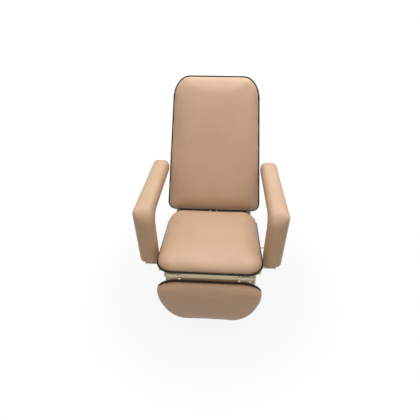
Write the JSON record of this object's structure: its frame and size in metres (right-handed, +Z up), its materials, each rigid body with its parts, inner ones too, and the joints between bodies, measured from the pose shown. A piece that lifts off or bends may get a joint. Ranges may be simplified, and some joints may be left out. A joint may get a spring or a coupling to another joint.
{
  "type": "patient recliner chair",
  "caption": "Vinyl padded patient recliner with a steel frame, L-shaped padded arms, and a back and legrest that recline together under a lockable gas spring.",
  "frame": {"origin": "on the floor, under the middle of the chair's box", "axes": "+Z up, -Y the way the sitter faces, +X to the sitter's left"},
  "size_m": [0.736, 0.8497, 1.1661],
  "materials": {
    "vinyl": "tan upholstery vinyl over foam, soft sheen",
    "piping": "black vinyl piping",
    "board": "plywood",
    "cream_steel": "cream powder coat, satin",
    "zinc": "zinc plated",
    "black_steel": "black gloss",
    "black_plastic": "moulded, matt",
    "rubber": "matt"
  },
  "bodies": {
    "base": {"base_runner_left": "cream_steel", "base_runner_right": "cream_steel", "runner_end_caps": "black_plastic", "floor_feet": "rubber", "front_leg_left": "cream_steel", "front_leg_right": "cream_steel", "rear_leg_left": "cream_steel", "rear_leg_right": "cream_steel", "front_cross_tube": "cream_steel", "rear_cross_tube": "cream_steel", "seat_rail_left": "cream_steel", "seat_rail_right": "cream_steel", "seat_front_rail": "cream_steel", "seat_middle_rail": "cream_steel", "seat_rear_rail": "cream_steel", "seat_board": "board", "seat_cushion": "vinyl", "seat_piping": "piping", "frame_bolts": "zinc", "back_hinge_brackets": "cream_steel", "back_hinge_pins": "zinc", "legrest_hinge_ears": "cream_steel", "legrest_hinge_pins": "zinc", "seat_apron": "cream_steel", "arm_brackets": "cream_steel", "arm_core_left": "cream_steel", "arm_core_right": "cream_steel", "arm_pad_left": "vinyl", "arm_pad_right": "vinyl", "release_hangers": "cream_steel", "release_bushes": "black_plastic"},
    "backrest": {"back_side_tube_left": "cream_steel", "back_side_tube_right": "cream_steel", "back_top_tube": "cream_steel", "back_torsion_tube": "cream_steel", "back_crank_left": "cream_steel", "back_crank_right": "cream_steel", "back_hinge_bushes": "black_plastic", "back_board": "board", "back_cushion": "vinyl", "back_piping": "piping", "back_board_screws": "zinc", "gas_spring_crank": "cream_steel", "gas_spring_crank_pin": "zinc", "tie_rod_rear_pins": "zinc"},
    "legrest": {"legrest_side_tube_left": "cream_steel", "legrest_side_tube_right": "cream_steel", "legrest_cross_tube": "cream_steel", "legrest_hinge_arms": "cream_steel", "legrest_board": "vinyl", "legrest_cushion": "vinyl", "legrest_piping": "piping", "tie_rod_front_pins": "zinc"},
    "tie_link_left": {"tie_rod_left": "cream_steel"},
    "tie_link_right": {"tie_rod_right": "cream_steel"},
    "gas_rod": {"gas_spring_rod": "zinc", "gas_spring_head": "black_plastic"},
    "gas_barrel": {"gas_spring_barrel": "black_steel"},
    "valve": {"valve_pin": "zinc"},
    "release": {"release_lever": "zinc", "release_grip": "black_plastic"}
  },
  "joints": [
    {"name": "recline", "type": "hinge", "parent": "base", "child": "backrest", "pos_m": [0, 0.14415, 0.421], "axis": [-1, 0, 0], "range_deg": [0, 45]},
    {"name": "legrest_lift", "type": "hinge", "parent": "base", "child": "legrest", "pos_m": [0, -0.37985, 0.418], "axis": [-1, 0, 0], "range_deg": [0, 72]},
    {"name": "tie_rod_left_pivot", "type": "hinge", "parent": "backrest", "child": "tie_link_left", "pos_m": [-0.2205, 0.18109, 0.37372], "axis": [-1, 0, 0], "range_deg": [-45, 0]},
    {"name": "tie_rod_right_pivot", "type": "hinge", "parent": "backrest", "child": "tie_link_right", "pos_m": [0.2205, 0.18109, 0.37372], "axis": [-1, 0, 0], "range_deg": [-45, 0]},
    {"name": "gas_spring_tilt", "type": "hinge", "parent": "base", "child": "gas_rod", "pos_m": [0, -0.13985, 0.398], "axis": [-1, 0, 0], "range_deg": [0, 5.3]},
    {"name": "gas_spring_stroke", "type": "slide", "parent": "gas_rod", "child": "gas_barrel", "axis": [0, 0.9986, -0.0521], "range_m": [-0.0395, 0]},
    {"name": "release_lever_pull", "type": "hinge", "parent": "base", "child": "release", "pos_m": [0, -0.13985, 0.398], "axis": [-1, 0, 0], "range_deg": [0, 25], "stiffness_Nm_per_rad": 2},
    {"name": "valve_pin_press", "type": "slide", "parent": "gas_rod", "child": "valve", "axis": [0, 0.9986, -0.0521], "range_m": [0, 0.0016]}
  ],
  "couplings": [
    {"joint": "legrest_lift", "follows": "recline", "ratio": 1.6},
    {"joint": "tie_rod_left_pivot", "follows": "recline", "ratio": -0.98564},
    {"joint": "tie_rod_right_pivot", "follows": "recline", "ratio": -0.98564},
    {"joint": "gas_spring_tilt", "follows": "recline", "ratio": 0.10583},
    {"joint": "gas_spring_stroke", "follows": "recline", "m_per_rad": -0.048506},
    {"joint": "valve_pin_press", "follows": "release_lever_pull", "m_per_rad": 0.003438}
  ]
}
